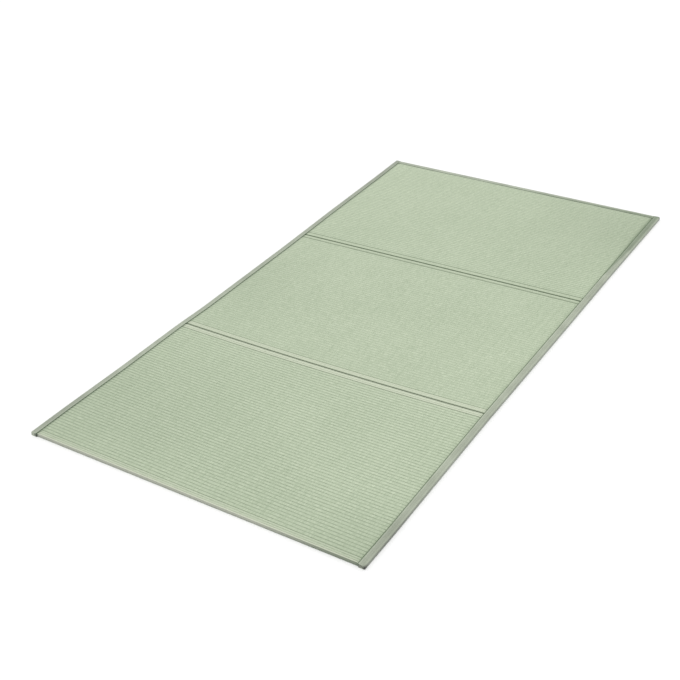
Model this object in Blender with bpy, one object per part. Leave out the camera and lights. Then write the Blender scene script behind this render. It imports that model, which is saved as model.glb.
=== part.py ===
"""Folding tatami mat, lying open and flat: three rush-covered panels and three cloth bindings."""

import bmesh
import bpy

# Driving dimensions, in metres. X runs across the mat, Y along it from the near end to the far end.
MAT_WIDTH = 1.000
MAT_LENGTH = 1.900
RIB_CREST = 0.0120
RIB_RELIEF = 0.0009
RIBS_PER_PANEL = 56
BINDING_WIDTH = 0.018
CLOTH_THICKNESS = 0.0012
PIECE_GAP = 0.0003

# A panel's hem: the rush turned over its edge, lying in humps from HEM_START in to the seam.
HEM_START = 0.0042
HEM_WIDTH = 0.0175
HEM_HUMPS = 2
HEM_CREST = 0.0118
SEAM_HEIGHT = 0.0102

# The rush cover dips to this height where a binding's inner edge lies on it.
DIP_HEIGHT = 0.0109
SHOULDER_WIDTH = 0.008

# The thinner edge of a panel that a binding folds round.
TONGUE_BOTTOM = 0.0015
TONGUE_TOP = 0.0095
TONGUE_INSET = 0.003

# The near end of the rush stays this far inside the ends of the side bindings.
RUSH_SETBACK = 0.0025

# Lines across the mat: thirds of the length from the near end, then how far the line's left and
# right ends lie from that place, and how far its middle bows towards the near end.
CROSS_LINES = {
    "near_end": {"thirds": 0, "left": 0.0066, "right": -0.0048, "bow": 0.0},
    "near_fold": {"thirds": 1, "left": -0.0079, "right": -0.0008, "bow": 0.0096},
    "far_fold": {"thirds": 2, "left": -0.0104, "right": 0.0022, "bow": 0.0},
    "far_end": {"thirds": 3, "left": 0.0050, "right": -0.0080, "bow": 0.0},
}

# How far the long sides stand out from their straight lines: metres from the near end, left, right.
SIDE_WAVE = (
    {"along": 0.00, "left": 0.0059, "right": 0.0055},
    {"along": 0.13, "left": 0.0052, "right": 0.0059},
    {"along": 0.35, "left": 0.0006, "right": 0.0032},
    {"along": 0.61, "left": -0.0005, "right": 0.0004},
    {"along": 0.72, "left": -0.0050, "right": 0.0006},
    {"along": 1.15, "left": -0.0050, "right": 0.0005},
    {"along": 1.45, "left": -0.0010, "right": -0.0004},
    {"along": 1.75, "left": -0.0003, "right": 0.0010},
    {"along": 1.90, "left": 0.0018, "right": 0.0014},
)

# A rib's rounded outline: share of its pitch, share of its relief.
RIB_OUTLINE = ((0.0, 0.0), (0.25, 0.72), (0.5, 1.0), (0.75, 0.72))

# A panel's turned edge, from its face inwards: distance from the face, height.
TURNED_TOP = ((0.0, 0.0050), (0.0006, 0.0082), (0.0020, 0.0102))
TURNED_BOTTOM = ((0.0, 0.0030), (0.0007, 0.0009), (0.0024, 0.0))

# Cross-section of a binding: distance in from the mat's outer edge, height.
BINDING_OUTSIDE = (
    (BINDING_WIDTH, 0.0110), (0.0130, 0.0115), (0.0080, 0.0117), (0.0040, 0.0114), (0.0016, 0.0103),
    (0.0003, 0.0083), (0.0, 0.0060), (0.0002, 0.0030), (0.0010, 0.0010), (0.0026, 0.0),
    (BINDING_WIDTH, 0.0),
)
BINDING_INSIDE = (
    (0.0027, CLOTH_THICKNESS), (0.0018, 0.0018), (0.0014, 0.0034), (CLOTH_THICKNESS, 0.0060),
    (0.0015, 0.0079), (0.0023, 0.0096), (0.0040, 0.0103), (0.0080, 0.0105), (0.0130, 0.0103),
)
LIP_UNDERSIDE = 0.0098

# The cutter that hollows a side binding stands out this far past its open inner edge.
CUTTER_REACH = 0.002

# Shares of the width at which the ribbed face has a line of points besides its two shoulders.
RIBBED_SHARES = (0.26, 0.50, 0.74)

# Within this share of a side, a place keeps its distance from that side's outer edge.
EDGE_SHARE = 0.1

# A bend of the long sides this close to a panel's or binding's end is left out.
BEND_MARGIN = 0.010

# Points nearer than this are one point.
SAME_POINT = 0.00001

RUSH_GREEN = (0.50, 0.58, 0.43, 1.0)
BINDING_GREY_GREEN = (0.38, 0.42, 0.35, 1.0)


def clear_scene():
    for old in list(bpy.data.objects):
        bpy.data.objects.remove(old, do_unlink=True)


def cloth_material(name, color, roughness):
    material = bpy.data.materials.new(name)
    material.use_nodes = True
    shader = material.node_tree.nodes["Principled BSDF"]
    shader.inputs["Base Color"].default_value = color
    shader.inputs["Roughness"].default_value = roughness
    shader.inputs["Metallic"].default_value = 0.0
    return material


def cross_y(line_name, share):
    """Y of a line across the mat at a share of the width, 0 at the left edge and 1 at the right."""
    line = CROSS_LINES[line_name]
    straight = line["left"] + (line["right"] - line["left"]) * share
    bow = line["bow"] * 4 * share * (1 - share)
    return MAT_LENGTH * (line["thirds"] / 3 - 0.5) + straight - bow


def edge_x(side, y):
    """X of the mat's outer edge on one side, straight between the rows of SIDE_WAVE."""
    along = y + MAT_LENGTH / 2
    rows = list(zip(SIDE_WAVE, SIDE_WAVE[1:]))
    before, after = next((pair for pair in rows if along <= pair[1]["along"]), rows[-1])
    step = (along - before["along"]) / (after["along"] - before["along"])
    stands_out = before[side] + (after[side] - before[side]) * step
    return (MAT_WIDTH / 2 + stands_out) * (1 if side == "right" else -1)


def place_x(share, y):
    """X at a share of the width. Near the sides it keeps its distance from the outer edge."""
    left, right = edge_x("left", y), edge_x("right", y)
    if share < EDGE_SHARE:
        return left + share * MAT_WIDTH
    if share > 1 - EDGE_SHARE:
        return right - (1 - share) * MAT_WIDTH
    return left + share * (right - left)


def wave_stations(y_start, y_end):
    """Y of both ends and of each row of SIDE_WAVE between them."""
    bends = [row["along"] - MAT_LENGTH / 2 for row in SIDE_WAVE]
    inner = [y for y in bends if y_start + BEND_MARGIN < y < y_end - BEND_MARGIN]
    return [y_start] + inner + [y_end]


def make_object(name, mesh_data, material):
    mesh = bpy.data.meshes.new(name)
    mesh_data.to_mesh(mesh)
    mesh_data.free()
    mesh.materials.append(material)
    made = bpy.data.objects.new(name, mesh)
    bpy.context.collection.objects.link(made)
    return made


def reach(one, other):
    """How far apart two points of neighbouring lines are in distance along and height, squared."""
    return (one[0] - other[0]) ** 2 + (one[1].co.z - other[1].co.z) ** 2


def zip_lines(mesh_data, first, second):
    """Joins two lines of points with triangles. Each line is a list of (distance along, point)."""
    i, j = 0, 0
    while i < len(first) - 1 or j < len(second) - 1:
        step_first = j == len(second) - 1
        if not step_first and i < len(first) - 1:
            step_first = reach(first[i + 1], second[j]) <= reach(first[i], second[j + 1])
        if step_first:
            mesh_data.faces.new((first[i][1], first[i + 1][1], second[j][1]))
            i += 1
        else:
            mesh_data.faces.new((first[i][1], second[j + 1][1], second[j][1]))
            j += 1


class Panel:
    """One rush-covered panel between two lines across the mat."""

    def __init__(self, near_line, far_line, near_inset, far_inset, far_is_bound=False):
        self.near_line = near_line
        self.far_line = far_line
        self.near_inset = near_inset
        self.far_inset = far_inset
        self.far_is_bound = far_is_bound

    def y(self, share, from_near, from_far, along):
        """Y between a distance in from the near face and one in from the far face."""
        near = cross_y(self.near_line, share) + self.near_inset + from_near
        far = cross_y(self.far_line, share) - self.far_inset - from_far
        return near + (far - near) * along

    def line(self, mesh_data, share, rows):
        """Points along the mat at a share of its width, from rows of (from_near, from_far, along, z).

        Each comes with its distance along a panel of even length, by which lines are joined.
        """
        points = []
        for from_near, from_far, along, z in rows:
            y = self.y(share, from_near, from_far, along)
            distance = from_near + (MAT_LENGTH / 3 - from_far - from_near) * along
            points.append((distance, mesh_data.verts.new((place_x(share, y), y, z))))
        return points

    def hem_rows(self, points_per_hump):
        """The sewn hem's humps, from the turned edge to the seam: distance from the face, height."""
        hump = (HEM_WIDTH - HEM_START) / HEM_HUMPS
        trough = HEM_CREST - RIB_RELIEF
        rows = []
        for index in range(HEM_HUMPS):
            for at, height in RIB_OUTLINE[::len(RIB_OUTLINE) // points_per_hump]:
                rows.append((HEM_START + (index + at) * hump, trough + height * RIB_RELIEF))
        return rows

    def top_rows(self, points_per_rib, highest):
        """Rows of the upper side: turned edge, hem, ribs, and hem or bound edge at the far end."""
        hem = list(TURNED_TOP) + self.hem_rows(points_per_rib)
        rows = [(inward, 0.0, 0.0, z) for inward, z in hem]
        far_hem = BINDING_WIDTH + PIECE_GAP if self.far_is_bound else HEM_WIDTH
        trough = RIB_CREST - RIB_RELIEF
        for rib in range(RIBS_PER_PANEL):
            for at, height in RIB_OUTLINE[::len(RIB_OUTLINE) // points_per_rib]:
                on_seam = rib == 0 and at == 0.0
                z = SEAM_HEIGHT if on_seam else trough + height * RIB_RELIEF
                rows.append((HEM_WIDTH, far_hem, (rib + at) / RIBS_PER_PANEL, z))
        if self.far_is_bound:
            rows.append((0.0, far_hem, 1.0, DIP_HEIGHT))
            rows.append((0.0, far_hem, 1.0, TONGUE_TOP))
            rows.append((0.0, TONGUE_INSET, 1.0, TONGUE_TOP))
        else:
            rows.append((0.0, HEM_WIDTH, 1.0, SEAM_HEIGHT))
            rows += [(0.0, inward, 1.0, z) for inward, z in reversed(hem)]
        return [(near, far, along, min(z, highest)) for near, far, along, z in rows]

    def under_rows(self, share, lowest):
        """Rows of the underside, with a row at each place where the long sides bend."""
        rows = [(inward, 0.0, 0.0, z) for inward, z in TURNED_BOTTOM]
        face_start = self.y(share, 0.0, 0.0, 0.0)
        face_end = self.y(share, 0.0, 0.0, 1.0)
        for station in wave_stations(face_start, face_end)[1:-1]:
            rows.append((0.0, 0.0, (station - face_start) / (face_end - face_start), 0.0))
        if self.far_is_bound:
            rows.append((0.0, BINDING_WIDTH + PIECE_GAP, 1.0, 0.0))
            rows.append((0.0, BINDING_WIDTH + PIECE_GAP, 1.0, TONGUE_BOTTOM))
            rows.append((0.0, TONGUE_INSET, 1.0, TONGUE_BOTTOM))
        else:
            rows += [(0.0, inward, 1.0, z) for inward, z in reversed(TURNED_BOTTOM)]
        return [(near, far, along, max(z, lowest)) for near, far, along, z in rows]

    def tongue_rows(self, share, z):
        """Rows of a tongue's long outer edge at height z, with the same bends as the sides."""
        turned = TURNED_TOP if z == TONGUE_TOP else TURNED_BOTTOM
        keep = min if z == TONGUE_TOP else max
        flat = [row for row in self.under_rows(share, 0.0) if 0.0 < row[2] < 1.0]
        rows = [(inward, 0.0, 0.0, keep(height, z)) for inward, height in turned]
        rows += [(near, far, along, z) for near, far, along, _ in flat]
        if self.far_is_bound:
            rows.append((0.0, BINDING_WIDTH + PIECE_GAP, 1.0, z))
            rows.append((0.0, TONGUE_INSET, 1.0, z))
        else:
            rows += [(0.0, inward, 1.0, keep(height, z)) for inward, height in reversed(turned)]
        return rows

    def build(self, name, material):
        lip = (BINDING_WIDTH + PIECE_GAP) / MAT_WIDTH
        shoulder = lip + SHOULDER_WIDTH / MAT_WIDTH
        tongue = TONGUE_INSET / MAT_WIDTH
        ribbed = self.top_rows(4, RIB_CREST)
        dip = self.top_rows(1, DIP_HEIGHT)
        foot = self.top_rows(1, TONGUE_TOP)
        upper = [(lip, foot), (lip, dip), (shoulder, ribbed)]
        upper += [(share, ribbed) for share in RIBBED_SHARES]
        upper += [(1 - share, rows) for share, rows in reversed(upper[:3])]
        upper = [(tongue, self.tongue_rows(tongue, TONGUE_TOP))] + upper
        upper.append((1 - tongue, self.tongue_rows(1 - tongue, TONGUE_TOP)))

        lower = [(tongue, self.tongue_rows(tongue, TONGUE_BOTTOM))]
        lower += [(lip, self.under_rows(lip, TONGUE_BOTTOM))]
        for share in (lip, shoulder, *RIBBED_SHARES, 1 - shoulder, 1 - lip):
            lower.append((share, self.under_rows(share, 0.0)))
        lower += [(1 - lip, self.under_rows(1 - lip, TONGUE_BOTTOM))]
        lower += [(1 - tongue, self.tongue_rows(1 - tongue, TONGUE_BOTTOM))]

        mesh_data = bmesh.new()
        tops = [self.line(mesh_data, share, rows) for share, rows in upper]
        bottoms = [self.line(mesh_data, share, rows) for share, rows in lower]
        around = tops + bottoms[::-1]
        for first, second in zip(around, around[1:] + around[:1]):
            zip_lines(mesh_data, first, second)
        for end in (0, -1):
            for i in range(len(tops) - 1):
                corners = (tops[i], tops[i + 1], bottoms[i + 1], bottoms[i])
                mesh_data.faces.new([line[end][1] for line in corners])
        bmesh.ops.remove_doubles(mesh_data, verts=mesh_data.verts, dist=SAME_POINT)
        bmesh.ops.recalc_face_normals(mesh_data, faces=mesh_data.faces)
        return make_object(name, mesh_data, material)


def loft(name, rings, material):
    """A closed solid through rings of points, with a flat face on its first and last ring."""
    mesh_data = bmesh.new()
    rings = [[mesh_data.verts.new(point) for point in ring] for ring in rings]
    for ring, following in zip(rings, rings[1:]):
        for i in range(len(ring)):
            mesh_data.faces.new((ring[i - 1], ring[i], following[i], following[i - 1]))
    mesh_data.faces.new(rings[0])
    mesh_data.faces.new(rings[-1])
    bmesh.ops.recalc_face_normals(mesh_data, faces=mesh_data.faces)
    return make_object(name, mesh_data, material)


def side_rings(side, section, y_start, y_end):
    """Rings of a section given as (distance in from the side's outer edge, height)."""
    inwards = -1 if side == "right" else 1
    rings = []
    for y in wave_stations(y_start, y_end):
        outer = edge_x(side, y)
        rings.append([(outer + inwards * inset, y, z) for inset, z in section])
    return rings


def side_binding(side, material):
    """A cloth strip folded round one long side, with its two ends folded shut."""
    share = 0.0 if side == "left" else 1.0
    y_start, y_end = cross_y("near_end", share), cross_y("far_end", share)
    binding = loft("binding_" + side, side_rings(side, BINDING_OUTSIDE, y_start, y_end), material)

    past_lip = BINDING_WIDTH + CUTTER_REACH
    pocket_section = ((past_lip, LIP_UNDERSIDE), (past_lip, CLOTH_THICKNESS)) + BINDING_INSIDE
    pocket_section += ((BINDING_WIDTH, LIP_UNDERSIDE),)
    pocket_rings = side_rings(side, pocket_section, y_start + CLOTH_THICKNESS, y_end - CLOTH_THICKNESS)
    pocket = loft("pocket_" + side, pocket_rings, material)
    pocket.hide_render = True
    pocket.display_type = "WIRE"

    cut = binding.modifiers.new("pocket", "BOOLEAN")
    cut.operation = "DIFFERENCE"
    cut.solver = "EXACT"
    cut.object = pocket
    return binding


def far_end_binding(material):
    """A cloth strip folded round the far end, between the two side bindings."""
    section = BINDING_OUTSIDE + ((BINDING_WIDTH, CLOTH_THICKNESS),) + BINDING_INSIDE
    section += ((BINDING_WIDTH, LIP_UNDERSIDE),)
    lip = (BINDING_WIDTH + PIECE_GAP) / MAT_WIDTH
    rings = []
    for share in (lip, 0.5, 1 - lip):
        ring = []
        for inset, z in section:
            y = cross_y("far_end", share) - inset
            ring.append((place_x(share, y), y, z))
        rings.append(ring)
    return loft("binding_far_end", rings, material)


clear_scene()
rush = cloth_material("rush_cover", RUSH_GREEN, 0.7)
binding_cloth = cloth_material("binding_cloth", BINDING_GREY_GREEN, 0.6)
half_gap = PIECE_GAP / 2
Panel("near_end", "near_fold", RUSH_SETBACK, half_gap).build("panel_near", rush)
Panel("near_fold", "far_fold", half_gap, half_gap).build("panel_middle", rush)
Panel("far_fold", "far_end", half_gap, 0.0, far_is_bound=True).build("panel_far", rush)
side_binding("left", binding_cloth)
side_binding("right", binding_cloth)
far_end_binding(binding_cloth)
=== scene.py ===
from math import pi, radians

import bpy
import numpy as np
from mathutils import Matrix, Vector


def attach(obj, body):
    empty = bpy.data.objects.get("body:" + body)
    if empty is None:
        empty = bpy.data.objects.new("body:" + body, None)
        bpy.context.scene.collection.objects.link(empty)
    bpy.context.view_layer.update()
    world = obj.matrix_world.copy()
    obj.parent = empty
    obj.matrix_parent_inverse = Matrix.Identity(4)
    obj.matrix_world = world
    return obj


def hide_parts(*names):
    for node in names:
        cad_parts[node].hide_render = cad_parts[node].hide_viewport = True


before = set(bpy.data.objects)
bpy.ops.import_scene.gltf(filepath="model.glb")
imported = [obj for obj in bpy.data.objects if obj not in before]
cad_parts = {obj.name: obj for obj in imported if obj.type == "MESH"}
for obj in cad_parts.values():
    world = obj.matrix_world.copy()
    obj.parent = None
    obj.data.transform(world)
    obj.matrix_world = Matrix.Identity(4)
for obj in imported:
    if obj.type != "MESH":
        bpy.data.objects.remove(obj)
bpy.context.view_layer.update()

# Camera: it looks down over the mat from beyond the near right corner, leaning a little to the right.
# Places are in metres: X across the mat, Y along it to the far end, Z up from the floor.
CAMERA_PLACE = Vector((1.5772, -2.6289, 1.8524))
CAMERA_TARGET = Vector((-0.0419, -0.1785, 0.0))
CAMERA_ROLL = radians(-2.98)

camera_data = bpy.data.cameras.new("camera")
camera_data.lens = 64.5
camera_data.sensor_width = 36.0
camera = bpy.data.objects.new("camera", camera_data)
bpy.context.scene.collection.objects.link(camera)
bpy.context.scene.camera = camera
aim = (CAMERA_TARGET - CAMERA_PLACE).to_track_quat("-Z", "Y").to_matrix().to_4x4()
camera.matrix_world = Matrix.Translation(CAMERA_PLACE) @ aim @ Matrix.Rotation(CAMERA_ROLL, 4, "Z")


# Floor: a plain pale studio floor, wide enough to reach past every view of the mat. It lies a hair
# below the mat's underside, so that the two faces never share a place.
FLOOR_HALF_SIZE = 30.0
FLOOR_DROP = 0.0002
FLOOR_CORNERS = ((-1, -1), (1, -1), (1, 1), (-1, 1))


def put(tree, kind, inputs=(), **settings):
    """Adds a shader node. inputs gives its sockets values, or other nodes' outputs to link to."""
    node = tree.nodes.new(kind)
    for name, value in settings.items():
        setattr(node, name, value)
    for socket, value in dict(inputs).items():
        if isinstance(value, bpy.types.NodeSocket):
            tree.links.new(value, node.inputs[socket])
        else:
            node.inputs[socket].default_value = value
    return node


def paint(red, green, blue):
    """A colour as seen on a screen, 0 to 255 each, in the linear values that shaders take."""
    seen = [part / 255 for part in (red, green, blue)]
    return [part / 12.92 if part < 0.04045 else ((part + 0.055) / 1.055) ** 2.4 for part in seen] + [1.0]


def new_material(name, **values):
    """A material, its node tree and its Principled shader, with the shader's own values set."""
    material = bpy.data.materials.new(name)
    material.use_nodes = True
    shader = material.node_tree.nodes["Principled BSDF"]
    for socket, value in values.items():
        shader.inputs[socket.replace("_", " ")].default_value = value
    return material, material.node_tree, shader


def mesh_object(name, points, faces, material, **layers):
    """A smooth mesh from arrays. Each layer gives every point two numbers that the material reads."""
    mesh = bpy.data.meshes.new(name)
    mesh.from_pydata(np.asarray(points).tolist(), [], faces)
    mesh.shade_smooth()
    mesh.materials.append(material)
    corner = np.zeros(len(mesh.loops), np.int32)
    mesh.loops.foreach_get("vertex_index", corner)
    for layer_name, values in layers.items():
        layer = mesh.uv_layers.new(name=layer_name)
        layer.data.foreach_set("uv", np.asarray(values, np.float32)[corner].ravel())
    made = bpy.data.objects.new(name, mesh)
    bpy.context.scene.collection.objects.link(made)
    return made


floor_material, _, _ = new_material("pale_floor", Base_Color=paint(250, 250, 250), Roughness=0.9)
floor_points = [(x * FLOOR_HALF_SIZE, y * FLOOR_HALF_SIZE, -FLOOR_DROP) for x, y in FLOOR_CORNERS]
floor = mesh_object("floor", floor_points, [(0, 1, 2, 3)], floor_material)

# Light: an even white studio round the mat, and one broad soft light high behind the camera.
# Seen past the floor's edge, the studio is as pale as the floor.
LIGHT_PLACE = Vector((3.0, -2.5, 7.0))
LIGHT_SPREAD = radians(40)
LIGHT_STRENGTH = 1.35
STUDIO_LIGHT = 0.75
STUDIO_SEEN = 1.0

light_data = bpy.data.lights.new("soft_light", "SUN")
light_data.angle = LIGHT_SPREAD
light_data.energy = LIGHT_STRENGTH
light = bpy.data.objects.new("soft_light", light_data)
bpy.context.scene.collection.objects.link(light)
light_aim = (Vector((0.0, 0.0, 0.0)) - LIGHT_PLACE).to_track_quat("-Z", "Y").to_matrix().to_4x4()
light.matrix_world = Matrix.Translation(LIGHT_PLACE) @ light_aim

studio = bpy.data.worlds.new("studio")
studio.use_nodes = True
bpy.context.scene.world = studio
studio_tree = studio.node_tree
seen_ray = put(studio_tree, "ShaderNodeLightPath").outputs["Is Camera Ray"]
strength = put(studio_tree, "ShaderNodeMapRange",
               {"Value": seen_ray, "To Min": STUDIO_LIGHT, "To Max": STUDIO_SEEN})
background = studio_tree.nodes["Background"]
background.inputs["Color"].default_value = (1.0, 1.0, 1.0, 1.0)
studio_tree.links.new(strength.outputs["Result"], background.inputs["Strength"])
bpy.context.scene.view_settings.view_transform = "Standard"


# Rush panels: each is a thin felt pad in a cover of rush stems woven over cotton warps. The stems run
# along the mat and stand up between the warps as ribs across it. At each fold, and at the near end,
# the cover is turned in over the pad's edge and sewn down through it, which leaves two low humps.
MAT_WIDTH = 1.000
MAT_LENGTH = 1.900
BINDING_WIDTH = 0.018
PIECE_GAP = 0.0003

# Where the rush comes out from under a binding, in from the mat's outer edge.
LIP = BINDING_WIDTH + PIECE_GAP

# Lines across the mat: thirds of the length from the near end, how far the line's left and right
# ends lie from that place, how far its middle bows towards the near end, how widely its gap and its
# seams lie in painted shade, and how much paler its hems are.
CROSS_LINES = {
    "near_end": {"thirds": 0, "left": 0.0066, "right": -0.0048, "bow": 0.0,
                 "gap": 0.8, "seam": 0.8, "paler": 0.45},
    "near_fold": {"thirds": 1, "left": -0.0079, "right": -0.0008, "bow": 0.0096,
                  "gap": 1.35, "seam": 1.25, "paler": 1.0},
    "far_fold": {"thirds": 2, "left": -0.0104, "right": 0.0022, "bow": 0.0,
                 "gap": 1.75, "seam": 2.3, "paler": 0.3},
    "far_end": {"thirds": 3, "left": 0.0050, "right": -0.0080, "bow": 0.0,
                "gap": 1.5, "seam": 1.5, "paler": 0.0},
}

# How far the long sides stand out from their straight lines: metres from the near end, left, right.
SIDE_WAVE = (
    {"along": 0.00, "left": 0.0059, "right": 0.0055},
    {"along": 0.13, "left": 0.0052, "right": 0.0059},
    {"along": 0.35, "left": 0.0006, "right": 0.0032},
    {"along": 0.61, "left": -0.0005, "right": 0.0004},
    {"along": 0.72, "left": -0.0050, "right": 0.0006},
    {"along": 1.15, "left": -0.0050, "right": 0.0005},
    {"along": 1.45, "left": -0.0010, "right": -0.0004},
    {"along": 1.75, "left": -0.0003, "right": 0.0010},
    {"along": 1.90, "left": 0.0018, "right": 0.0014},
)

# Each bend of a long side is eased over this reach, and the rush near it follows it over this share
# of the width.
BEND_REACH = 0.015
SIDE_SHARE = 0.03

RIBS = 56
RIB_CREST = 0.0120
RIB_RELIEF = 0.0010
RIB_ROUNDNESS = 0.75
ROWS_PER_RIB = 5
HEM_START = 0.0042
HEM_WIDTH = 0.0175
WIDE_HEM_WIDTH = 0.0205
HEM_HUMPS = 2
HEM_CREST = 0.0119
HEM_RELIEF = 0.0014
SEAM_HEIGHT = 0.0096
SEAM_HALF_WIDTH = 0.0011
RUSH_SETBACK = 0.0025
RIB_PITCH = (MAT_LENGTH / 3 - 2 * HEM_WIDTH) / RIBS

# Places round a panel, counted in ribs: 0 at its near seam, RIBS at its far one, and further out over
# the hems and round the underside. The turned edge is the palest, a painted highlight, above its face
# at the near end.
SEAM_SHOULDER_RIB = -0.15
SEAM_SHOULDER_DROP = 0.0006
HEM_RIB = -0.05
TURNED_EDGE_RIB = -1.95
TURNED_EDGE_HIGHLIGHT = 1.5
END_FACE_RIB = -2.365
END_FACE_BLEND = 0.02
JUST_PAST = 0.1

# The cover's turned edges, from the face inwards: distance from the face, height. The one at the
# near end is pressed flat by its seam, and those at a fold stand a little open.
TURNED_AT_END = ((0.0, 0.0070), (0.0001, 0.0098), (0.0005, 0.0110), (0.0014, 0.0117), (0.0028, 0.0116))
TURNED_AT_FOLD = ((0.0, 0.0046), (0.0006, 0.0072), (0.0009, 0.0094), (0.0014, 0.0105), (0.0025, 0.0112))
TURNED_BOTTOM = ((0.0, 0.0020), (0.0003, 0.0008), (0.0010, 0.0002), (0.0022, 0.0))
UNDERSIDE_ROWS = 8

# Under a binding the panel is pressed thinner, and beside it the cover dips.
PRESSED_TOP = 0.0095
PRESSED_BOTTOM = 0.0015
PRESSED_INSET = 0.003
PRESSED_SLOPE = 0.001
PRESSED_FROM = 0.0005
DIP_DEPTH = 0.0011
DIP_WIDTH = 0.006

# Columns of points across a panel: metres from the outer edge beside a binding, and between the two
# sides this many, evenly spaced from a share of the width.
SIDE_COLUMNS = (PRESSED_INSET, 0.0100, 0.0172, LIP, 0.0200, 0.0225, 0.0262)
MIDDLE_COLUMNS = 189
MIDDLE_COLUMNS_FROM = 0.031

# Fine unevenness of hand work: of each rib along itself, of the pad, and of the ribs' places.
SEGMENT_RELIEF = 0.00022
PAD_UNEVEN = 0.00035
PAD_SUNK = 0.6
RIB_WANDER = 0.0005

# Shade on the rush beside the bindings: a narrow one on each side, which on the right grows towards
# the far end, and a broad faint one past both.
LEFT_SHADE = {"depth": 0.40, "width": 0.0075}
RIGHT_SHADE = {"depth": 0.16, "width": 0.0060}
FAR_RIGHT_SHADE = {"more_depth": 0.26, "more_width": 0.0035, "from_y": 0.55, "grows_over": 0.20}
BROAD_SHADE = {"depth": 0.08, "width": 0.014}

# A panel with less painted shade in its grooves gets a little even painted shade all over instead,
# and the turned face at the near end gets painted shade that deepens towards the right.
GROOVE_CUT_SHADE = 0.08
END_FACE_SHADE = {"depth": 0.42, "from_x": 0.2, "grows_over": 0.2}

# Broad soft patches of painted shade where the rush is darker: middle, reach and depth.
DARKER_PATCHES = (
    {"x": 0.50, "y": 0.84, "reach": 0.30, "depth": 0.17},
    {"x": -0.45, "y": -0.78, "reach": 0.35, "depth": 0.15},
    {"x": -0.50, "y": 0.00, "reach": 0.24, "depth": 0.08},
    {"x": 0.10, "y": -0.95, "reach": 0.30, "depth": 0.06},
    {"x": 0.50, "y": -0.94, "reach": 0.17, "depth": 0.14},
)


def cross_y(line_name, share):
    """Y of a line across the mat at a share of the width, 0 at the left edge and 1 at the right."""
    line = CROSS_LINES[line_name]
    straight = line["left"] + (line["right"] - line["left"]) * share
    return MAT_LENGTH * (line["thirds"] / 3 - 0.5) + straight - line["bow"] * 4 * share * (1 - share)


def side_x(side, y):
    """X of the mat's outer edge on one side, eased a little where the side bends."""
    stations = [row["along"] - MAT_LENGTH / 2 for row in SIDE_WAVE]
    stands_out = [row[side] for row in SIDE_WAVE]
    shifts = (-BEND_REACH, 0.0, BEND_REACH)
    eased = np.mean([np.interp(y + shift, stations, stands_out) for shift in shifts], axis=0)
    return (MAT_WIDTH / 2 + eased) * (1 if side == "right" else -1)


def place_x(share, y):
    """X at a share of the width. Near the sides it keeps its distance from the outer edge."""
    left, right = side_x("left", y), side_x("right", y)
    inner = np.clip((share - SIDE_SHARE) / (1 - 2 * SIDE_SHARE), 0, 1)
    return left + share * MAT_WIDTH + (right - left - MAT_WIDTH) * inner


def soft_noise(seed, rows, columns, row_cell, column_cell):
    """Values from -1 to 1 over a grid, changing smoothly over so many rows and columns."""
    chance = np.random.default_rng(seed)
    coarse = chance.uniform(-1, 1, (int(rows / row_cell) + 2, int(columns / column_cell) + 2))
    at_columns, at_rows = np.arange(columns) / column_cell, np.arange(rows) / row_cell
    wide = [np.interp(at_columns, np.arange(coarse.shape[1]), line) for line in coarse]
    return np.array([np.interp(at_rows, np.arange(len(wide)), line) for line in np.transpose(wide)]).T


def rib_outline(part):
    """Height of a rib's rounded outline, 0 to 1, at a part of its pitch."""
    return np.sin(np.pi * np.asarray(part)) ** RIB_ROUNDNESS


def hem_rows(turned, width):
    """A hem from its turned edge to its seam: distance from the face, height, rib number."""
    rows = [(inward, z, -HEM_HUMPS - (HEM_START - inward) / RIB_PITCH) for inward, z in turned]
    hump_width = (width - HEM_START) / HEM_HUMPS
    for step in range(HEM_HUMPS * ROWS_PER_RIB):
        hump = step / ROWS_PER_RIB
        z = HEM_CREST - HEM_RELIEF * (1 - rib_outline(hump % 1))
        rows.append((HEM_START + hump * hump_width, z, hump - HEM_HUMPS))
    rows.append((width - SEAM_HALF_WIDTH, HEM_CREST - SEAM_SHOULDER_DROP, SEAM_SHOULDER_RIB))
    return rows


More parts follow.
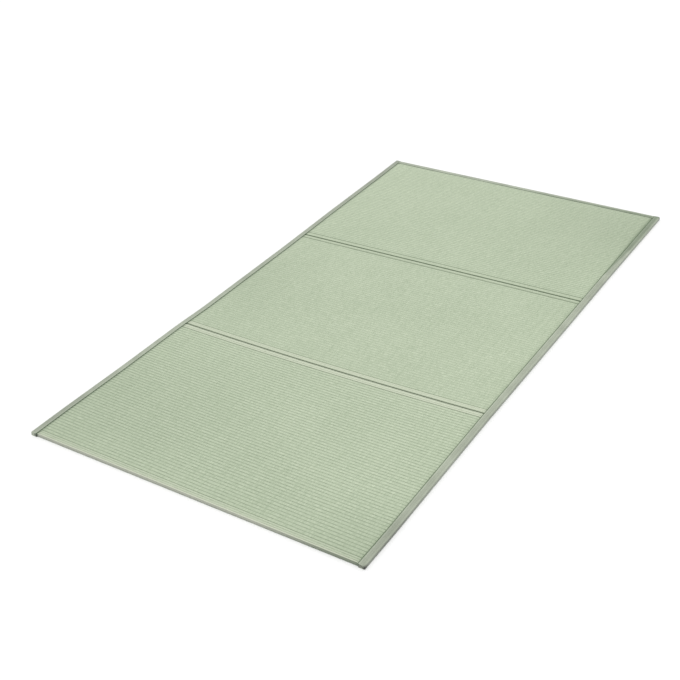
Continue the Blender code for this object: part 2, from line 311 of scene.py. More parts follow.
def panel_rows(near_turned, far_hem, far_is_bound):
    """Rows round a panel, over the top and back under it: from_near, from_far, along, z, rib number."""
    rows = [(inward, 0.0, 0.0, z, rib) for inward, z, rib in hem_rows(near_turned, HEM_WIDTH)]
    for step in range(RIBS * ROWS_PER_RIB):
        rib = step / ROWS_PER_RIB
        z = SEAM_HEIGHT if step == 0 else RIB_CREST - RIB_RELIEF * (1 - rib_outline(rib % 1))
        rows.append((HEM_WIDTH, far_hem, rib / RIBS, z, rib))
    first, last = -HEM_HUMPS - 1, RIBS + HEM_HUMPS
    if far_is_bound:
        rows.append((0.0, far_hem, 1.0, RIB_CREST - RIB_RELIEF - DIP_DEPTH, RIBS))
        rows.append((0.0, far_hem - PRESSED_SLOPE, 1.0, PRESSED_TOP, RIBS + JUST_PAST))
        rows.append((0.0, PRESSED_INSET, 1.0, PRESSED_TOP, last))
        rows.append((0.0, PRESSED_INSET, 1.0, PRESSED_BOTTOM, last + 1))
        rows.append((0.0, far_hem - PRESSED_SLOPE, 1.0, PRESSED_BOTTOM, last + 2))
        rows.append((0.0, far_hem, 1.0, 0.0, last + 2 + JUST_PAST))
    else:
        rows.append((0.0, far_hem, 1.0, SEAM_HEIGHT, RIBS))
        hem = reversed(hem_rows(TURNED_AT_FOLD, far_hem))
        rows += [(0.0, inward, 1.0, z, RIBS - rib) for inward, z, rib in hem]
        rows += [(0.0, inward, 1.0, z, last + 1 + inward / RIB_PITCH) for inward, z in TURNED_BOTTOM]
    for along in np.linspace(1, 0, UNDERSIDE_ROWS + 2)[1:-1]:
        rows.append((0.0, 0.0, along, 0.0, along * (last - first) + first))
    rows += [(inward, 0.0, 0.0, z, first - inward / RIB_PITCH) for inward, z in reversed(TURNED_BOTTOM)]
    return np.array(rows)


def side_face(y, upper_count):
    """Triangles that close a panel's side between its upper and lower rows, by row number."""
    upper, lower = range(upper_count), range(len(y) - 1, upper_count - 1, -1)
    faces, one, two = [], 0, 0
    while one + 1 < len(upper) or two + 1 < len(lower):
        upper_is_done = one + 1 == len(upper)
        if upper_is_done or (two + 1 < len(lower) and y[lower[two + 1]] < y[upper[one + 1]]):
            faces.append((upper[one], lower[two + 1], lower[two]))
            two += 1
        else:
            faces.append((upper[one], upper[one + 1], lower[two]))
            one += 1
    return faces


def rush_panel(name, seed, near_line, near_inset, far_line, far_inset, far_hem, groove_shade_cut):
    """One panel as a closed cover, swept across the mat between two of the cross lines.

    Each inset is how far its edge lies inside the line. far_hem is how wide its far hem is, or how
    much of the panel the end binding covers. groove_shade_cut, from 0 to 1, is how much of the painted
    shade in its grooves, which is colour in the material, is taken away.
    """
    near_is_end, far_is_bound = near_line == "near_end", far_line == "far_end"
    side = np.array(SIDE_COLUMNS) / MAT_WIDTH
    between = np.linspace(MIDDLE_COLUMNS_FROM, 1 - MIDDLE_COLUMNS_FROM, MIDDLE_COLUMNS)
    share = np.concatenate([side, between, 1 - side[::-1]])[:, None]
    near_turned = TURNED_AT_END if near_is_end else TURNED_AT_FOLD
    from_near, from_far, along, z, rib = panel_rows(near_turned, far_hem, far_is_bound).T[:, None, :]

    near = cross_y(near_line, share) + near_inset + from_near
    far = cross_y(far_line, share) - far_inset - from_far
    columns, rows = len(share), rib.shape[1]
    on_ribs = (rib > 0) & (rib < RIBS) & (z > RIB_CREST / 2)
    from_side = np.minimum(share, 1 - share) * MAT_WIDTH - LIP
    inside = np.clip(from_side / DIP_WIDTH, 0, 1)
    inside = inside * inside * (3 - 2 * inside)

    whole_rib = np.clip(np.floor(rib[0]), -1, RIBS).astype(int) + 1
    segments = soft_noise(seed, RIBS + 2, columns, row_cell=1, column_cell=3.4)[whole_rib].T
    wander = soft_noise(seed + 1, RIBS + 2, columns, row_cell=4, column_cell=9)[whole_rib].T
    uneven = soft_noise(seed + 2, rows, columns, row_cell=34, column_cell=22).T
    y = near + (far - near) * along + on_ribs * inside * RIB_WANDER * wander
    z = z + on_ribs * inside * SEGMENT_RELIEF * segments * rib_outline(rib % 1)
    z = z + on_ribs * inside * PAD_UNEVEN * (uneven - PAD_SUNK)
    top = np.broadcast_to(z > RIB_CREST / 2, z.shape)
    z = z - top * DIP_DEPTH * (1 - inside)
    under_binding = np.broadcast_to(from_side < -PRESSED_FROM, z.shape)
    z = np.where(under_binding, np.clip(z, PRESSED_BOTTOM, PRESSED_TOP), z)

    # How far each point is from the nearest crease, at a binding or fold, and from the nearest seam.
    from_near_line, from_far_line = y - near + from_near, far + from_far - y
    near_crease = 1.0 if near_is_end else from_near_line / CROSS_LINES[near_line]["gap"]
    far_crease = (from_far_line - (BINDING_WIDTH if far_is_bound else 0.0)) / CROSS_LINES[far_line]["gap"]
    crease = np.minimum(np.minimum(near_crease, far_crease), from_side)
    near_seam = abs(from_near_line - HEM_WIDTH) / CROSS_LINES[near_line]["seam"]
    far_seam = abs(from_far_line - far_hem) / CROSS_LINES[far_line]["seam"]
    seam = np.minimum(near_seam, far_seam)

    # The cover: pale along its hems, most of all along the turned edge and face at the near end, where
    # the turned edge's paleness is a painted highlight.
    pale = (rib < HEM_RIB) * CROSS_LINES[near_line]["paler"]
    pale = pale + (rib > RIBS - HEM_RIB) * CROSS_LINES[far_line]["paler"]
    if near_is_end:
        pale = np.where(rib < TURNED_EDGE_RIB, TURNED_EDGE_HIGHLIGHT, pale)
    end_face = np.clip((END_FACE_RIB - rib) / END_FACE_BLEND, 0, 1) * near_is_end

    # Shade beside the side bindings, deepest along the left and at the far right, and in patches.
    x = place_x(share, y)
    to_far_right = np.clip((y - FAR_RIGHT_SHADE["from_y"]) / FAR_RIGHT_SHADE["grows_over"], 0, 1)
    right_depth = RIGHT_SHADE["depth"] + FAR_RIGHT_SHADE["more_depth"] * to_far_right
    right_width = RIGHT_SHADE["width"] + FAR_RIGHT_SHADE["more_width"] * to_far_right
    deep = np.where(share < 0.5, LEFT_SHADE["depth"], right_depth)
    deep_width = np.where(share < 0.5, LEFT_SHADE["width"], right_width)
    shade = deep * np.clip(1 - from_side / deep_width, 0, 1)
    shade = shade + BROAD_SHADE["depth"] * np.clip(1 - from_side / BROAD_SHADE["width"], 0, 1)
    shade = shade + GROOVE_CUT_SHADE * groove_shade_cut
    for patch in DARKER_PATCHES:
        away = np.hypot(x - patch["x"], y - patch["y"]) / patch["reach"]
        shade = shade + patch["depth"] * np.exp(-away * away)
    # Painted shade on the near end's turned face, deepening towards the right.
    to_right = np.clip((x - END_FACE_SHADE["from_x"]) / END_FACE_SHADE["grows_over"], 0, 1)
    shade = shade + END_FACE_SHADE["depth"] * end_face * to_right

    points = np.stack([x, y, z], axis=-1).reshape(-1, 3)
    index = np.arange(columns * rows).reshape(columns, rows)
    following = np.roll(index, -1, axis=1)
    quads = np.stack([index[:-1], index[1:], following[1:], following[:-1]], axis=-1).reshape(-1, 4)
    faces = quads.tolist()
    upper_count = int((z[0] > RIB_CREST / 4).sum())
    for column, turn in ((0, 1), (-1, -1)):
        faces += [index[column][list(face)][::turn].tolist() for face in side_face(y[column], upper_count)]

    # What the material reads at each point: its place in the weave, how far it is from a crease and
    # a seam, how pale it is and whether on the turned face, and its painted shade and groove shade cut.
    weave = np.stack([x, np.broadcast_to(rib, x.shape)], axis=-1).reshape(-1, 2)
    edges = np.stack([crease, seam], axis=-1).reshape(-1, 2)
    cover = np.stack([np.broadcast_to(part, x.shape) for part in (pale, end_face)], axis=-1).reshape(-1, 2)
    shade = np.stack([shade, np.full(x.shape, groove_shade_cut)], axis=-1).reshape(-1, 2)
    return mesh_object(name, points, faces, rush_cover, weave=weave, edges=edges, cover=cover, shade=shade)


def node_group(name, inputs, outputs):
    """A shader node group with number sockets of these names, and its input and output nodes."""
    tree = bpy.data.node_groups.new(name, "ShaderNodeTree")
    for socket in inputs:
        tree.interface.new_socket(socket, in_out="INPUT", socket_type="NodeSocketFloat")
    for socket in outputs:
        tree.interface.new_socket(socket, in_out="OUTPUT", socket_type="NodeSocketFloat")
    return tree, tree.nodes.new("NodeGroupInput").outputs, tree.nodes.new("NodeGroupOutput").inputs


def calc(tree, operation, *values):
    """The result of a Math node."""
    return put(tree, "ShaderNodeMath", enumerate(values), operation=operation).outputs[0]


def layer(tree, name):
    """The two numbers that a mesh layer gives each point."""
    place = put(tree, "ShaderNodeUVMap", uv_map=name).outputs[0]
    parts = put(tree, "ShaderNodeSeparateXYZ", {0: place})
    return parts.outputs["X"], parts.outputs["Y"]


def pair(tree, first, second):
    """Two numbers as a vector, for a texture."""
    return put(tree, "ShaderNodeCombineXYZ", {"X": first, "Y": second}).outputs[0]


# The weave both cloths share: strands lie side by side, each rounded, and pass over one row and
# under the next, so that neighbouring rows are half a strand apart. Every strand has its own tone.
DRIFTS_PER_METRE = 45.0
DRIFT_ROW_STEP = 3.7
GROOVE_SHARPNESS = 5.0
TUCKED_DROP = 0.7

woven, given, result = node_group(
    "woven_strands",
    inputs=("Across", "Row", "Strand Width", "Wander"),
    outputs=("Height", "Tone", "Strand Tone", "Groove"),
)
row = calc(woven, "FLOOR", given["Row"])
row_part = calc(woven, "FRACT", given["Row"])
odd_row = calc(woven, "FLOORED_MODULO", row, 2.0)
drift_place = pair(woven, calc(woven, "MULTIPLY", given["Across"], DRIFTS_PER_METRE),
                   calc(woven, "MULTIPLY", row, DRIFT_ROW_STEP))
drift = put(woven, "ShaderNodeTexNoise", {"Vector": drift_place, "Scale": 1.0, "Detail": 1.0},
            noise_dimensions="2D").outputs["Fac"]
strand_place = calc(woven, "DIVIDE", given["Across"], given["Strand Width"])
strand = calc(woven, "MULTIPLY_ADD", odd_row, 0.5, strand_place)
strand = calc(woven, "MULTIPLY_ADD", drift, given["Wander"], strand)
strand_part = calc(woven, "FRACT", strand)
rounded = calc(woven, "MULTIPLY_ADD", strand_part, 2.0, -1.0)
rounded = calc(woven, "SUBTRACT", 1.0, calc(woven, "MULTIPLY", rounded, rounded))
tucked = calc(woven, "ABSOLUTE", calc(woven, "MULTIPLY_ADD", row_part, 2.0, -1.0))
groove = calc(woven, "POWER", tucked, GROOVE_SHARPNESS)
tucked = calc(woven, "SUBTRACT", 1.0, groove)
lift = calc(woven, "MULTIPLY_ADD", tucked, TUCKED_DROP, 1 - TUCKED_DROP)
height = calc(woven, "MULTIPLY", calc(woven, "SQRT", rounded), lift)
each = put(woven, "ShaderNodeTexWhiteNoise", {"Vector": pair(woven, calc(woven, "FLOOR", strand), row)},
           noise_dimensions="2D")
long_strand = put(woven, "ShaderNodeTexWhiteNoise", {"W": calc(woven, "FLOOR", strand_place)},
                  noise_dimensions="1D")
woven.links.new(height, result["Height"])
woven.links.new(groove, result["Groove"])
woven.links.new(each.outputs["Value"], result["Tone"])
woven.links.new(long_strand.outputs["Value"], result["Strand Tone"])

# Soft patches both cloths share: broad, faint changes of tone from handling, fading and dust.
patches, given, result = node_group("soft_patches", inputs=("Patch Size", "Detail"), outputs=("Tone",))
object_place = put(patches, "ShaderNodeTexCoord").outputs["Object"]
patch_scale = calc(patches, "DIVIDE", 1.0, given["Patch Size"])
patch = put(patches, "ShaderNodeTexNoise",
            {"Vector": object_place, "Scale": patch_scale, "Detail": given["Detail"]})
patches.links.new(patch.outputs["Fac"], result["Tone"])

# Rush stems: pale green with a grey bloom, a few straw-coloured, darker between them.
STEM_WIDTH = 0.0014
STEM_RELIEF = 0.00035
BUNDLE_LENGTH = 0.016
BUNDLE_ROW_STEP = 5.3

# The tone of the darkest stem, and how far it can rise with the stem's piece between two warps, with
# its whole length, with the bundle it lies in and with the patch.
STEM_TONES = {"darkest": 0.195, "piece": 0.17, "length": 0.06, "bundle": 0.24, "patch": 0.14}
MOST_PALE = 0.6

rush_cover, tree, shader = new_material("rush_cover", Sheen_Weight=0.15, Sheen_Roughness=0.5)
across, rib = layer(tree, "weave")
stems = put(tree, "ShaderNodeGroup", node_tree=woven)
tree.links.new(across, stems.inputs["Across"])
tree.links.new(rib, stems.inputs["Row"])
stems.inputs["Strand Width"].default_value = STEM_WIDTH
stems.inputs["Wander"].default_value = 0.8
bundle_place = pair(tree, calc(tree, "DIVIDE", across, BUNDLE_LENGTH),
                    calc(tree, "MULTIPLY", calc(tree, "FLOOR", rib), BUNDLE_ROW_STEP))
bundle = put(tree, "ShaderNodeTexNoise", {"Vector": bundle_place, "Scale": 1.0, "Detail": 2.0},
             noise_dimensions="2D").outputs["Fac"]
broad = put(tree, "ShaderNodeGroup", node_tree=patches)
broad.inputs["Patch Size"].default_value = 0.28
broad.inputs["Detail"].default_value = 2.0
tone = calc(tree, "MULTIPLY_ADD", stems.outputs["Tone"], STEM_TONES["piece"], STEM_TONES["darkest"])
tone = calc(tree, "MULTIPLY_ADD", stems.outputs["Strand Tone"], STEM_TONES["length"], tone)
tone = calc(tree, "MULTIPLY_ADD", bundle, STEM_TONES["bundle"], tone)
tone = calc(tree, "MULTIPLY_ADD", broad.outputs["Tone"], STEM_TONES["patch"], tone)
ramp = put(tree, "ShaderNodeValToRGB", {"Fac": tone})
ramp.color_ramp.elements[0].position = 0.2
ramp.color_ramp.elements[0].color = paint(157, 173, 144)
ramp.color_ramp.elements[1].position = 0.8
ramp.color_ramp.elements[1].color = paint(210, 221, 194)

# Paler hems, a painted highlight on the near end's turned edge, and the turned face. A colour Mix node
# takes its two colours at sockets 6 and 7.
pale, end_face = layer(tree, "cover")
pale = calc(tree, "MULTIPLY", pale, MOST_PALE)
paler = put(tree, "ShaderNodeMix", {"Factor": pale, 6: ramp.outputs["Color"], 7: paint(210, 216, 194)},
            data_type="RGBA")
# The near end's turned face is painted a darker grey, as painted shade on that face.
paler = put(tree, "ShaderNodeMix", {"Factor": end_face, 6: paler.outputs[2], 7: paint(168, 171, 157)},
            data_type="RGBA")

# How lit each place is, 1 on an open stem: less between stems and ribs, in shade, creases and seams.
gap = put(tree, "ShaderNodeMapRange", {"Value": stems.outputs["Height"], "From Max": 0.6, "To Min": 0.86})
groove_darkness = put(tree, "ShaderNodeMapRange",
                   {"Value": bundle, "From Min": 0.32, "From Max": 0.68, "To Min": 0.28, "To Max": 0.80})
shade, groove_shade_cut = layer(tree, "shade")
# Painted shade in the grooves between ribs, less on a panel whose groove shade is cut.
groove = calc(tree, "MULTIPLY", stems.outputs["Groove"], groove_darkness.outputs["Result"])
groove = calc(tree, "MULTIPLY", groove, calc(tree, "SUBTRACT", 1.0, groove_shade_cut))
groove = calc(tree, "SUBTRACT", 1.0, groove)
from_crease, from_seam = layer(tree, "edges")
crease = put(tree, "ShaderNodeMapRange",
             {"Value": from_crease, "From Min": 0.0006, "From Max": 0.0022, "To Min": 0.17},
             interpolation_type="SMOOTHSTEP")
seam = put(tree, "ShaderNodeMapRange",
           {"Value": from_seam, "From Min": 0.0004, "From Max": 0.0020, "To Min": 0.56},
           interpolation_type="SMOOTHSTEP")
lit = calc(tree, "MULTIPLY", gap.outputs["Result"], groove)
lit = calc(tree, "MULTIPLY", lit, calc(tree, "SUBTRACT", 1.0, shade))
lit = calc(tree, "MULTIPLY", lit, crease.outputs["Result"])
lit = calc(tree, "MULTIPLY", lit, seam.outputs["Result"])
shaded = put(tree, "ShaderNodeMix", {"Factor": lit, 6: paint(44, 74, 32), 7: paler.outputs[2]},
             data_type="RGBA")
tree.links.new(shaded.outputs[2], shader.inputs["Base Color"])
roughness = put(tree, "ShaderNodeMapRange", {"Value": tone, "To Min": 0.72, "To Max": 0.5})
tree.links.new(roughness.outputs["Result"], shader.inputs["Roughness"])
bump = put(tree, "ShaderNodeBump",
           {"Height": stems.outputs["Height"], "Distance": STEM_RELIEF, "Strength": 0.8})
tree.links.new(bump.outputs["Normal"], shader.inputs["Normal"])

half_gap = PIECE_GAP / 2
PANELS = {
    "panel_near": {"seed": 11, "near_line": "near_end", "near_inset": RUSH_SETBACK,
                   "far_line": "near_fold", "far_inset": half_gap, "far_hem": WIDE_HEM_WIDTH,
                   "groove_shade_cut": 0.0},
    "panel_middle": {"seed": 21, "near_line": "near_fold", "near_inset": half_gap,
                     "far_line": "far_fold", "far_inset": half_gap, "far_hem": HEM_WIDTH,
                     "groove_shade_cut": 0.5},
    "panel_far": {"seed": 31, "near_line": "far_fold", "near_inset": half_gap,
                  "far_line": "far_end", "far_inset": 0.0, "far_hem": LIP,
                  "groove_shade_cut": 0.15},
}
for node_name, shape in PANELS.items():
    panel = rush_panel("rush_" + node_name, **shape)
    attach(panel, "root")
    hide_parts(node_name)


# Hem seams: a row of cotton stitches through each hem, made of twisted thread. They go right through
# the pad and pull the cover down between two ribs.
STITCH_PITCH = 0.0044
STITCH_LENGTH = 0.0034
STITCH_RADIUS = 0.00028
STITCH_SIDES = 6
STITCH_AIM = 0.001
PLY_PITCH = 0.00045
PLY_RELIEF = 0.00006

# One stitch along its length, from -1 to 1: how high it stands and how thick it is, in radii.
STITCH_STATIONS = ((-1.0, -1.8, 0.7), (-0.8, -0.3, 1.0), (-0.3, 0.6, 1.0),
                   (0.3, 0.6, 1.0), (0.8, -0.3, 1.0), (1.0, -1.8, 0.7))


def along_path(distances, path_distances, path):
    """Points (x, y, z) at these distances along a path."""
    return np.stack([np.interp(distances, path_distances, path[:, axis]) for axis in range(3)], axis=1)


def stitches(name, paths, material):
    """One mesh of short stitches set end to end along each path of points (x, y, z).

    Its layer gives how far along its own stitch a point is, and how far aside of the stitch's middle.
    """
    points, faces, twist = [], [], []
    turns = np.arange(STITCH_SIDES) * 2 * np.pi / STITCH_SIDES
    for path in paths:
        steps = np.linalg.norm(np.diff(path, axis=0), axis=1)
        distance = np.concatenate([[0], np.cumsum(steps)])
        middles = np.arange(STITCH_PITCH, distance[-1] - STITCH_PITCH, STITCH_PITCH)
        here = along_path(middles, distance, path)
        ahead = along_path(middles + STITCH_AIM, distance, path) - here
        ahead /= np.linalg.norm(ahead, axis=1)[:, None]
        up = np.array((0.0, 0.0, 1.0))
        aside = np.cross(ahead, up)
        for middle, forward, side in zip(here, ahead, aside):
            start = len(points)
            for along, rise, thickness in STITCH_STATIONS:
                centre = middle + forward * along * STITCH_LENGTH / 2 + up * rise * STITCH_RADIUS
                for turn in turns:
                    outwards = side * np.cos(turn) + up * np.sin(turn)
                    points.append(centre + STITCH_RADIUS * thickness * outwards)
                    twist.append((along * STITCH_LENGTH / 2, STITCH_RADIUS * thickness * np.cos(turn)))
            for ring in range(len(STITCH_STATIONS) - 1):
                for one in range(STITCH_SIDES):
                    low, high = start + ring * STITCH_SIDES, start + (ring + 1) * STITCH_SIDES
                    two = (one + 1) % STITCH_SIDES
                    faces.append((low + one, high + one, high + two, low + two))
            faces.append(tuple(range(start, start + STITCH_SIDES)))
            faces.append(tuple(range(len(points) - 1, len(points) - STITCH_SIDES - 1, -1)))
    return mesh_object(name, points, faces, material, twist=twist)


def twisted_thread(name, soiled, clean):
    """Cotton thread: its plies stand up as slanting ridges, and its tone changes along the seam."""
    material, tree, shader = new_material(name, Roughness=0.6)
    along_stitch, aside = layer(tree, "twist")
    ply = calc(tree, "FRACT", calc(tree, "DIVIDE", calc(tree, "ADD", along_stitch, aside), PLY_PITCH))
    ridge = calc(tree, "SINE", calc(tree, "MULTIPLY", ply, pi))
    handled = put(tree, "ShaderNodeGroup", node_tree=patches)
    handled.inputs["Patch Size"].default_value = STITCH_PITCH
    handled.inputs["Detail"].default_value = 2.0
    ramp = put(tree, "ShaderNodeValToRGB", {"Fac": handled.outputs["Tone"]})
    ramp.color_ramp.elements[0].position = 0.35
    ramp.color_ramp.elements[0].color = soiled
    ramp.color_ramp.elements[1].position = 0.65
    ramp.color_ramp.elements[1].color = clean
    # Painted shade between the plies, and a faint painted highlight on their ridges.
    between_plies = put(tree, "ShaderNodeMapRange", {"Value": ridge, "To Min": 0.74, "To Max": 1.06})
    shaded = put(tree, "ShaderNodeMix",
                 {"Factor": 1.0, 6: ramp.outputs["Color"], 7: between_plies.outputs["Result"]},
                 data_type="RGBA", blend_type="MULTIPLY")
    tree.links.new(shaded.outputs[2], shader.inputs["Base Color"])
    bump = put(tree, "ShaderNodeBump", {"Height": ridge, "Distance": PLY_RELIEF, "Strength": 0.7})
    tree.links.new(bump.outputs["Normal"], shader.inputs["Normal"])
    return material


hem_thread = twisted_thread("hem_thread", soiled=paint(182, 189, 166), clean=paint(204, 211, 190))

# Each hem seam's cross line, and how far along the mat from it the seam runs.
HEM_SEAMS = (
    ("near_end", RUSH_SETBACK + HEM_WIDTH),
    ("near_fold", -WIDE_HEM_WIDTH),
    ("near_fold", HEM_WIDTH),
    ("far_fold", -HEM_WIDTH),
    ("far_fold", HEM_WIDTH),
)
HEM_SEAM_STEPS = 160

share = np.linspace(SIDE_SHARE, 1 - SIDE_SHARE, HEM_SEAM_STEPS)
seam_paths = []
for line_name, away in HEM_SEAMS:
    y = cross_y(line_name, share) + away
    seam_paths.append(np.stack([place_x(share, y), y, np.full(len(share), SEAM_HEIGHT)], axis=1))
seams = stitches("hem_stitches", seam_paths, hem_thread)
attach(seams, "root")


# Side bindings: each is one strip of plain cloth folded round a long side over all three panels,
# sewn through near its turned-in inner edge, with both ends folded shut.
CLOTH_THICKNESS = 0.0010
STATION_STEP = 0.006

# Outside of the folded strip: distance in from the mat's outer edge, height.
STRIP_OUTSIDE = np.array((
    (0.0179, 0.0103), (0.0178, 0.0110), (0.0172, 0.0115), (0.0163, 0.0116), (0.0155, 0.0112),
    (0.0149, 0.0108), (0.0142, 0.0111), (0.0128, 0.0115), (0.0105, 0.0117), (0.0080, 0.0118),
    (0.0055, 0.0118), (0.0034, 0.0117), (0.0020, 0.0114), (0.0010, 0.0107), (0.0004, 0.0096),
    (0.0001, 0.0080), (0.0, 0.0060), (0.0, 0.0040), (0.0002, 0.0022), (0.0006, 0.0010),
    (0.0013, 0.0003), (0.0024, 0.0), (0.0080, 0.0), (0.0130, 0.0), (0.0179, 0.0),
))
SEWN_AT = 5
HALF_HEIGHT = 0.006
WALL_TOP = 0.0105
HEIGHT_BLEND = 0.003

# Ripples in the cloth, sideways and up. It lies flat on the floor, so they start above this height.
RIPPLE_ASIDE = 0.00012
RIPPLE_UP = 0.00016
RIPPLES_ABOVE = 0.001

# How sharply the shade beside the inner edge ends, how much darker the outer wall is than the top
# under the painted shade, and a distance that lies out of every shade.
SHADE_SHARPNESS = 2.5
WALL_DARKER = 1.7
OUT_OF_SHADE = 1.0
LEAST_SHADE_WIDTH = 1e-6

# A folded end, ring by ring: how far it stands out past the strip, and how far it has drawn in. Its
# cloth takes the strip's painted light and shade at this part of the way round.
END_REACH = 0.0012
FOLDED_END = ((0.0006, 0.0001), (0.0010, 0.0004), (END_REACH, 0.0009), (0.0004, 0.0022))
END_ROUND = 0.5

# Painted shade low at the right corner of a folded end, standing in for a small open gap there: its
# reach on each strip, its height, and how sharp its rim is.
CORNER_SHADE = {"left": 0.0050, "right": 0.0080}
CORNER_SHADE_HEIGHT = 0.0035
CORNER_SHADE_SHARPNESS = 4


def strip_inside(outside):
    """The strip's inner surface, one cloth thickness inside its outside, in reverse order."""
    ahead = np.gradient(outside, axis=0)
    ahead /= np.linalg.norm(ahead, axis=1)[:, None]
    inward = np.stack([-ahead[:, 1], ahead[:, 0]], axis=1)
    return (outside + inward * CLOTH_THICKNESS)[::-1]


def folded_strip(name, seed, edge, inward, shade_width, darkness, corner_shade=None):
    """A strip folded round an edge, through points (x, y) of it. inward points in over the mat.

    shade_width gives, for each point, how wide the strip lies in shade beside its sewn inner edge,
    and darkness how dark the whole strip is there, more so on its outer wall.
    Its ends are folded shut where corner_shade gives the reach of the painted shade that stands in for a
    small gap at their lower right corners, and otherwise open.
    """
    outside = STRIP_OUTSIDE
    ring = np.concatenate([outside, strip_inside(outside)])
    ring_inset, ring_height = ring[:, 0], ring[:, 1]
    stations, around = len(edge), len(ring)
    ripple = soft_noise(seed, stations, around, row_cell=3, column_cell=5)
    ripple = ripple + soft_noise(seed + 1, stations, around, row_cell=14, column_cell=9)
    on_top = np.clip((ring_height - HALF_HEIGHT) / HEIGHT_BLEND, 0, 1)
    inset = ring_inset + RIPPLE_ASIDE * ripple * (ring_height > RIPPLES_ABOVE)
    height = ring_height + RIPPLE_UP * ripple * on_top
    points = np.zeros((stations, around, 3))
    points[:, :, :2] = edge[:, None, :] + inset[:, :, None] * inward
    points[:, :, 2] = height
    index = np.arange(stations * around).reshape(stations, around)
    following = np.roll(index, -1, axis=1)
    quads = np.stack([index[:-1], index[1:], following[1:], following[:-1]], axis=-1).reshape(-1, 4)
    faces = quads.tolist()
    points = points.reshape(-1, 3)

    # What the material reads at each point: how far along and round the strip it is, and how deep it
    # lies in shade and how dark it is.
    steps = np.linalg.norm(np.diff(edge, axis=0), axis=1)
    along = np.concatenate([[0], np.cumsum(steps)])
    round_it = np.concatenate([[0], np.cumsum(np.linalg.norm(np.diff(ring, axis=0), axis=1))])
    weave = np.stack(np.meshgrid(along, round_it, indexing="ij"), axis=-1).reshape(-1, 2)
    out_from_lip = np.where(ring_height > HALF_HEIGHT, ring_inset[0] - ring_inset, OUT_OF_SHADE)
    shade_width = np.maximum(shade_width, LEAST_SHADE_WIDTH)[:, None]
    shade = np.clip(SHADE_SHARPNESS * (1 - out_from_lip / shade_width), 0, 1)
    on_wall = np.clip((WALL_TOP - ring_height) / HEIGHT_BLEND, 0, 1)
    shade = np.stack([shade, darkness[:, None] * (1 + WALL_DARKER * on_wall)], axis=-1).reshape(-1, 2)

    # The two ends. A folded one closes its hollow first, and then draws in, ring by ring, to a cap.
    outer = len(outside)
    for end, turn in ((0, 1), (stations - 1, -1)):
        loop = index[end]
        if corner_shade is None:
            faces.append(loop[::turn].tolist())
            continue
        outwards = (edge[end] - edge[end + turn]) / np.linalg.norm(edge[end] - edge[end + turn])
        rim = np.concatenate([loop[:outer], loop[outer:][[0, -1]]])
        faces.append(loop[outer:][::turn].tolist())
        previous = rim
        for reach, shrink in FOLDED_END:
            folded = points[rim].copy()
            middle = folded.mean(axis=0)
            towards = middle - folded
            folded += towards / np.linalg.norm(towards, axis=1)[:, None] * shrink
            folded[:, :2] += outwards * reach
            start = len(points)
            points = np.concatenate([points, folded])
            weave = np.concatenate([weave, weave[rim] * (1, END_ROUND) + (reach * -turn, 0)])
            shade = np.concatenate([shade, shade[rim] * (1, 0) + (0, darkness[end])])
            current = np.arange(start, start + len(rim))
            ahead, behind = np.roll(current, -1), np.roll(previous, -1)
            wall = np.stack([previous, current, ahead, behind][::-turn], axis=-1)
            faces += wall.tolist()
            previous = current
        faces.append(previous[::turn].tolist())
        # Painted shade at this end's lower right corner, in place of a small open gap.
        corner = (edge[end][0] + max(0.0, inward[0] * BINDING_WIDTH), edge[end][1], CORNER_SHADE_HEIGHT)
        from_corner = np.linalg.norm(points - corner, axis=1) / corner_shade
        shade[:, 1] = np.maximum(shade[:, 1], np.exp(-(from_corner ** CORNER_SHADE_SHARPNESS)))
    sweep = edge[-1] - edge[0]
    if sweep[0] * inward[1] - sweep[1] * inward[0] > 0:
        faces = [face[::-1] for face in faces]
    groove = points[index[:, SEWN_AT]]
    return mesh_object(name, points, faces, binding_cloth, weave=weave, shade=shade), groove


# Binding cloth: fine grey-green cotton, with painted highlights where it bends, and darker low down and
# at its sewn inner edge as painted shade.
THREAD_WIDTH = 0.0006
THREAD_RELIEF = 0.00015

# How far the cloth's tone can rise with a thread's float, with its whole length and with the patch.
CLOTH_TONES = {"float": 0.25, "length": 0.2, "patch": 0.55}

# How light the cloth is painted at so many metres round the strip from its sewn inner edge: painted
# shade at that edge and down the outer wall, painted highlights on the bends between.
ROUND_THE_STRIP = (
    (0.0000, 0.40), (0.0009, 0.88), (0.0016, 1.07), (0.0048, 1.07), (0.0062, 0.91), (0.0140, 0.91),
    (0.0160, 0.97), (0.0180, 0.95), (0.0203, 0.62), (0.0285, 0.50),
)
STRIP_REACH = 0.030

# How light the cloth still is in the shade, how much of its light the full darkness takes, and the
# green that the shade takes on from the rush beside it.
LEAST_IN_SHADE = 0.63
MOST_DARKNESS = 0.96
RUSH_TINT = (0.90, 1.0, 0.88, 1.0)

binding_cloth, tree, shader = new_material(
    "binding_cloth", Roughness=0.7, Sheen_Weight=0.3, Sheen_Roughness=0.4
)
along_strip, round_strip = layer(tree, "weave")
threads = put(tree, "ShaderNodeGroup", node_tree=woven)
tree.links.new(round_strip, threads.inputs["Across"])
tree.links.new(calc(tree, "DIVIDE", along_strip, THREAD_WIDTH), threads.inputs["Row"])
threads.inputs["Strand Width"].default_value = THREAD_WIDTH
threads.inputs["Wander"].default_value = 0.1
broad = put(tree, "ShaderNodeGroup", node_tree=patches)
broad.inputs["Patch Size"].default_value = 0.06
broad.inputs["Detail"].default_value = 4.0
tone = calc(tree, "MULTIPLY", threads.outputs["Tone"], CLOTH_TONES["float"])
tone = calc(tree, "MULTIPLY_ADD", threads.outputs["Strand Tone"], CLOTH_TONES["length"], tone)
tone = calc(tree, "MULTIPLY_ADD", broad.outputs["Tone"], CLOTH_TONES["patch"], tone)
ramp = put(tree, "ShaderNodeValToRGB", {"Fac": tone})
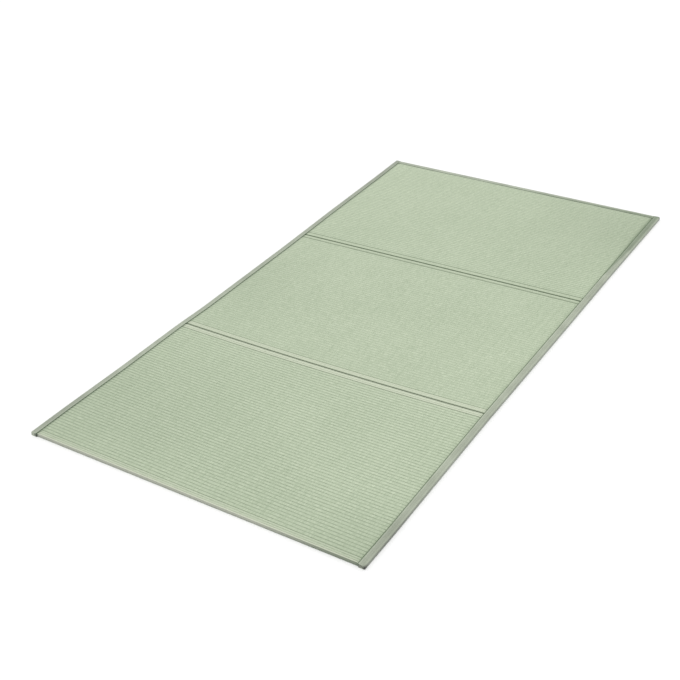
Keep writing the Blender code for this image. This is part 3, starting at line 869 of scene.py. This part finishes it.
ramp.color_ramp.elements[0].position = 0.25
ramp.color_ramp.elements[0].color = paint(147, 155, 137)
ramp.color_ramp.elements[1].position = 0.75
ramp.color_ramp.elements[1].color = paint(187, 195, 176)
light_round = put(tree, "ShaderNodeValToRGB", {"Fac": calc(tree, "DIVIDE", round_strip, STRIP_REACH)})
for step, (distance, lightness) in enumerate(ROUND_THE_STRIP):
    stops = light_round.color_ramp.elements
    stop = stops[step] if step < 2 else stops.new(1.0)
    stop.position = distance / STRIP_REACH
    stop.color = (lightness, lightness, lightness, 1.0)
shade, darkness = layer(tree, "shade")
in_shade = put(tree, "ShaderNodeMapRange", {"Value": shade, "To Min": 1.0, "To Max": LEAST_IN_SHADE})
lit = calc(tree, "MULTIPLY", light_round.outputs["Color"], in_shade.outputs["Result"])
lit = calc(tree, "MULTIPLY", lit, calc(tree, "MULTIPLY_ADD", darkness, -MOST_DARKNESS, 1.0))
shaded = put(tree, "ShaderNodeMix", {"Factor": 1.0, 6: ramp.outputs["Color"], 7: lit},
             data_type="RGBA", blend_type="MULTIPLY")
shaded = put(tree, "ShaderNodeMix", {"Factor": shade, 6: shaded.outputs[2], 7: RUSH_TINT},
             data_type="RGBA", blend_type="MULTIPLY")
tree.links.new(shaded.outputs[2], shader.inputs["Base Color"])
bump = put(tree, "ShaderNodeBump",
           {"Height": threads.outputs["Height"], "Distance": THREAD_RELIEF, "Strength": 0.6})
tree.links.new(bump.outputs["Normal"], shader.inputs["Normal"])

binding_thread = twisted_thread("binding_thread", soiled=paint(160, 166, 149), clean=paint(182, 188, 172))

# Both strips are painted darker near the near end, as painted shade, and the left one more and more
# from here to the far end.
SHADED_NEAR = {"y": -0.84, "reach": 0.13, "depth": 0.17}
DARKER_LEFT = {"from_y": -0.1, "per_metre": 0.2}

# How wide the strips lie in shade beside the rush: the left one all along, the right one at the far
# end only, from where it widens to its full width.
LEFT_IN_SHADE = 0.0018
RIGHT_IN_SHADE = {"width": 0.0185, "from_y": 0.48, "grows_over": 0.24}

for side, share, seed in (("left", 0.0, 41), ("right", 1.0, 51)):
    y_start, y_end = cross_y("near_end", share), cross_y("far_end", share)
    y = np.linspace(y_start + END_REACH, y_end - END_REACH, int((y_end - y_start) / STATION_STEP))
    edge = np.stack([side_x(side, y), y], axis=1)
    inward = np.array((1.0 if side == "left" else -1.0, 0.0))
    darkness = SHADED_NEAR["depth"] * np.exp(-(((y - SHADED_NEAR["y"]) / SHADED_NEAR["reach"]) ** 2))
    if side == "left":
        shade_width = np.full(len(y), LEFT_IN_SHADE)
        darkness = darkness + DARKER_LEFT["per_metre"] * np.clip(y - DARKER_LEFT["from_y"], 0, None)
    else:
        widened = np.clip((y - RIGHT_IN_SHADE["from_y"]) / RIGHT_IN_SHADE["grows_over"], 0, 1)
        shade_width = RIGHT_IN_SHADE["width"] * widened
    strip, groove = folded_strip(
        "cloth_binding_" + side, seed, edge, inward, shade_width, darkness, corner_shade=CORNER_SHADE[side]
    )
    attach(strip, "root")
    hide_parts("binding_" + side)
    thread = stitches("binding_stitches_" + side, [groove], binding_thread)
    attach(thread, "root")


# Far-end binding: one more strip of the same cloth, folded round the far end and sewn through in the
# same way. It is butted between the two side bindings, so its ends are left open.
FAR_END_SEED = 61

# How wide it lies in shade beside the rush at its left end, and how much more at its right.
FAR_END_IN_SHADE = 0.002
FAR_END_MORE_SHADE = 0.011

share = np.linspace(LIP / MAT_WIDTH, 1 - LIP / MAT_WIDTH, int(MAT_WIDTH / STATION_STEP))
y = cross_y("far_end", share)
edge = np.stack([place_x(share, y), y], axis=1)
shade_width = FAR_END_IN_SHADE + FAR_END_MORE_SHADE * share ** 2
darkness = np.zeros(len(y))
inward = np.array((0.0, -1.0))
strip, groove = folded_strip("cloth_binding_far_end", FAR_END_SEED, edge, inward, shade_width, darkness)
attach(strip, "root")
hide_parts("binding_far_end")
thread = stitches("binding_stitches_far_end", [groove], binding_thread)
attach(thread, "root")
